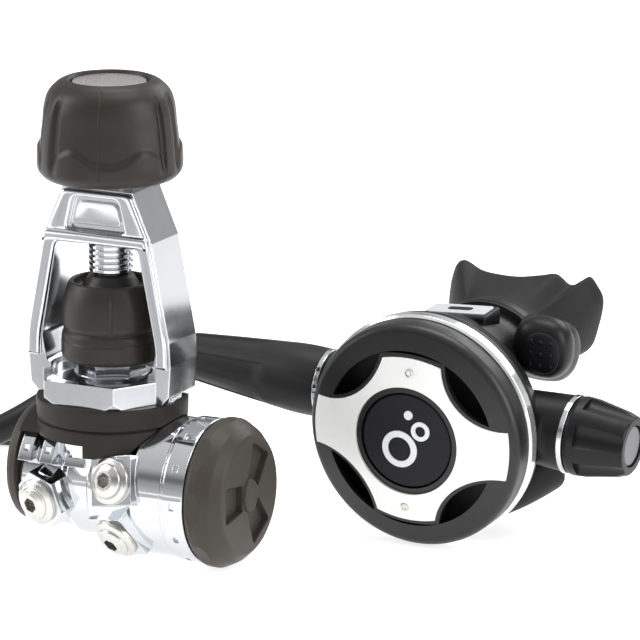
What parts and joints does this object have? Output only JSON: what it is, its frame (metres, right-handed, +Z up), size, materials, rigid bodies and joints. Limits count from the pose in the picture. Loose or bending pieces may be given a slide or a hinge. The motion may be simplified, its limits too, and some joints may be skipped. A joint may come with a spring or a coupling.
{
  "type": "scuba regulator set",
  "caption": "Scuba regulator set: chrome first stage with yoke clamp and dark knob, a hose, and a round demand valve with a bright four-armed cover plate and a mouthpiece.",
  "frame": {"origin": "bottom centre of the object's box, at ground level, without the hose", "axes": "+X along the first stage's barrel to its end cap and on to the demand valve's adjusting knob, -Y the front with the ports and the purge cover, +Z up along the yoke screw"},
  "size_m": [0.4286, 0.1632, 0.1654],
  "materials": {
    "chrome": "mirror chrome plating on brass",
    "crimp_steel": "rolled stainless crimp sleeve",
    "satin_steel": "satin stainless steel",
    "seal_rubber": "nitrile rubber",
    "dark_plastic": "dark brown-grey moulded plastic, satin",
    "knob_plastic": "dark brown-grey moulded grip, satin",
    "boot_rubber": "dark brown-grey rubber boot",
    "brass": "machined brass",
    "spring_steel": "spring wire",
    "sintered_bronze": "sintered bronze grains",
    "hose_rubber": "extruded hose rubber with a faint sheen",
    "sleeve_rubber": "moulded hose protector rubber",
    "badge_metal": "grey metal badge",
    "black_plastic": "black moulded plastic, fine satin grain",
    "button_rubber": "black soft-touch rubber",
    "emblem_white": "pale inlay",
    "bright_plate": "bright brushed plate",
    "silicone": "thin silicone",
    "black_rubber": "black moulded rubber",
    "mouthpiece_silicone": "matte black silicone",
    "strap_nylon": "black nylon tie",
    "label_grey": "pale printed pad without text"
  },
  "bodies": {
    "first_stage": {"body_block": "chrome", "lp_port_plugs": "satin_steel", "high_port_plugs": "satin_steel", "plug_orings": "seal_rubber", "left_cap": "dark_plastic", "spanner_ring": "chrome", "end_cap": "dark_plastic", "end_cap_insert": "dark_plastic", "high_seat": "brass", "balance_chamber": "brass", "poppet_spring": "spring_steel", "main_diaphragm": "seal_rubber", "thrust_pad": "brass", "main_spring": "spring_steel", "spring_adjuster": "brass", "yoke_boot": "boot_rubber", "yoke": "chrome", "yoke_retainer": "chrome", "inlet_filter": "sintered_bronze", "filter_clip": "spring_steel", "lp_hose": "hose_rubber", "hose_end_fitting": "chrome", "hose_crimps": "crimp_steel", "swivel_nut": "chrome", "hose_protector": "sleeve_rubber"},
    "dust_cap": {"dust_cap": "dark_plastic"},
    "yoke_knob": {"yoke_screw": "chrome", "yoke_knob": "knob_plastic", "knob_badge": "badge_metal"},
    "high_poppet": {"high_poppet": "brass"},
    "second_stage": {"cover_ring": "black_plastic", "cover_plate": "bright_plate", "plate_pins": "satin_steel", "chrome_rim": "chrome", "diaphragm": "silicone", "housing": "black_plastic", "exhaust_tee": "black_rubber", "exhaust_valve": "silicone", "valve_inlet": "brass", "valve_barrel": "brass", "inlet_orifice": "brass", "hose_side_ring": "chrome", "knob_side_ring": "chrome", "mouthpiece": "mouthpiece_silicone", "mouthpiece_strap": "strap_nylon", "demand_spring": "spring_steel", "purge_spring": "spring_steel", "label_plate": "label_grey"},
    "purge_button": {"purge_button": "button_rubber", "button_emblem": "emblem_white"},
    "diaphragm_plate": {"diaphragm_plate": "satin_steel"},
    "demand_lever": {"demand_lever": "satin_steel"},
    "demand_poppet": {"demand_poppet": "black_plastic"},
    "adjusting_knob": {"adjusting_knob": "black_plastic", "knob_end_cap": "badge_metal"},
    "adjusting_screw": {"adjusting_screw": "brass"},
    "venturi_lever": {"venturi_lever": "black_plastic", "venturi_vane": "black_plastic"}
  },
  "joints": [
    {"name": "screw_lift", "type": "slide", "parent": "first_stage", "child": "dust_cap", "axis": [0, 0, 1], "range_m": [0, 0.0121]},
    {"name": "yoke_knob_turn", "type": "hinge", "parent": "dust_cap", "child": "yoke_knob", "pos_m": [-0.0656, -0.0522, 0.126], "axis": [0, 0, 1], "range_deg": [0, 2160]},
    {"name": "high_valve_travel", "type": "slide", "parent": "first_stage", "child": "high_poppet", "axis": [1, 0, 0], "range_m": [0, 0.0004], "stiffness_N_per_m": 2000, "deforming": ["poppet_spring"]},
    {"name": "hose_swivel", "type": "hinge", "parent": "first_stage", "child": "second_stage", "pos_m": [0.02663, 0.0206, 0.04423], "axis": [0.9974, 0, -0.0715], "continuous": true},
    {"name": "purge_press", "type": "slide", "parent": "second_stage", "child": "purge_button", "axis": [0.0057, 0.9968, 0.08], "range_m": [0, 0.003], "stiffness_N_per_m": 900, "springref_m": -0.001, "deforming": ["purge_spring"]},
    {"name": "diaphragm_travel", "type": "slide", "parent": "second_stage", "child": "diaphragm_plate", "axis": [0.0057, 0.9968, 0.08], "range_m": [0, 0.0031]},
    {"name": "demand_lever_swing", "type": "hinge", "parent": "second_stage", "child": "demand_lever", "pos_m": [0.04159, 0.0196, 0.04308], "axis": [-0.0713, 0.0802, -0.9942], "range_deg": [0, 10.5]},
    {"name": "demand_poppet_travel", "type": "slide", "parent": "second_stage", "child": "demand_poppet", "axis": [0.9974, 0, -0.0715], "range_m": [0, 0.00105], "deforming": ["demand_spring"]},
    {"name": "adjusting_knob_turn", "type": "hinge", "parent": "second_stage", "child": "adjusting_knob", "pos_m": [0.08648, 0.0206, 0.03994], "axis": [0.9974, 0, -0.0715], "range_deg": [0, 1080]},
    {"name": "adjusting_screw_travel", "type": "slide", "parent": "second_stage", "child": "adjusting_screw", "axis": [-0.9974, 0, 0.0715], "range_m": [0, 0.0031]},
    {"name": "venturi_lever_turn", "type": "hinge", "parent": "second_stage", "child": "venturi_lever", "pos_m": [0.05812, 0.04091, 0.06393], "axis": [0.9974, 0, -0.0715], "range_deg": [0, 45]}
  ],
  "couplings": [
    {"joint": "screw_lift", "follows": "yoke_knob_turn", "m_per_rad": 0.00031831},
    {"joint": "diaphragm_travel", "follows": "purge_press", "ratio": 1},
    {"joint": "demand_lever_swing", "follows": "purge_press", "rad_per_m": 58.759},
    {"joint": "demand_poppet_travel", "follows": "purge_press", "ratio": 0.3333},
    {"joint": "adjusting_screw_travel", "follows": "adjusting_knob_turn", "m_per_rad": 0.00015915}
  ]
}
